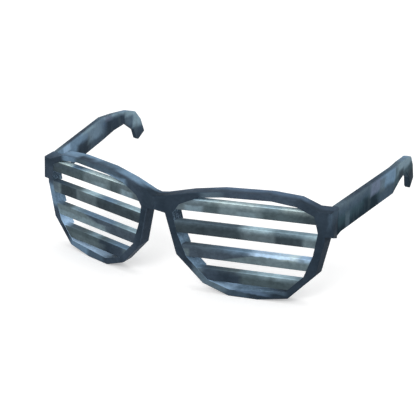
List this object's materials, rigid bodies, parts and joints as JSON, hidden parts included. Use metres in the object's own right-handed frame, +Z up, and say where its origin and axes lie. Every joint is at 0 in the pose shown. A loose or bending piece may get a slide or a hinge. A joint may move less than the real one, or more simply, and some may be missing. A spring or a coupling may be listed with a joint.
{
  "type": "slatted novelty glasses",
  "caption": "Wrapped plastic glasses with horizontal slats in place of lenses and folding temples with hooked ends.",
  "frame": {"origin": "on the middle line, level with the feet of the rims, halfway from the bridge to the ends of the hooks", "axes": "+Z up as the glasses are worn, -Y the way the wearer looks, +X to the wearer's left"},
  "size_m": [0.1554, 0.0982, 0.047],
  "materials": {
    "front_plastic": "gloss, mottled",
    "slat_plastic": "gloss, mottled",
    "temple_plastic": "gloss, mottled",
    "hinge_metal": "satin nickel",
    "screw_metal": "bright"
  },
  "bodies": {
    "front": {"front_frame": "front_plastic", "left_slat_1": "slat_plastic", "left_slat_2": "slat_plastic", "left_slat_3": "slat_plastic", "left_slat_4": "slat_plastic", "right_slat_1": "slat_plastic", "right_slat_2": "slat_plastic", "right_slat_3": "slat_plastic", "right_slat_4": "slat_plastic", "left_front_leaf": "hinge_metal", "left_hinge_screw": "screw_metal", "left_front_leaf_screws": "screw_metal", "right_front_leaf": "hinge_metal", "right_hinge_screw": "screw_metal", "right_front_leaf_screws": "screw_metal"},
    "left_arm": {"left_temple": "temple_plastic", "left_temple_leaf": "hinge_metal", "left_temple_leaf_screws": "screw_metal"},
    "right_arm": {"right_temple": "temple_plastic", "right_temple_leaf": "hinge_metal", "right_temple_leaf_screws": "screw_metal"}
  },
  "joints": [
    {"name": "left_temple_fold", "type": "hinge", "parent": "front", "child": "left_arm", "pos_m": [0.06732, -0.02502, 0.0356], "axis": [0, 0, 1], "range_deg": [0, 98]},
    {"name": "right_temple_fold", "type": "hinge", "parent": "front", "child": "right_arm", "pos_m": [-0.06732, -0.02502, 0.0356], "axis": [0, 0, -1], "range_deg": [0, 90]}
  ]
}
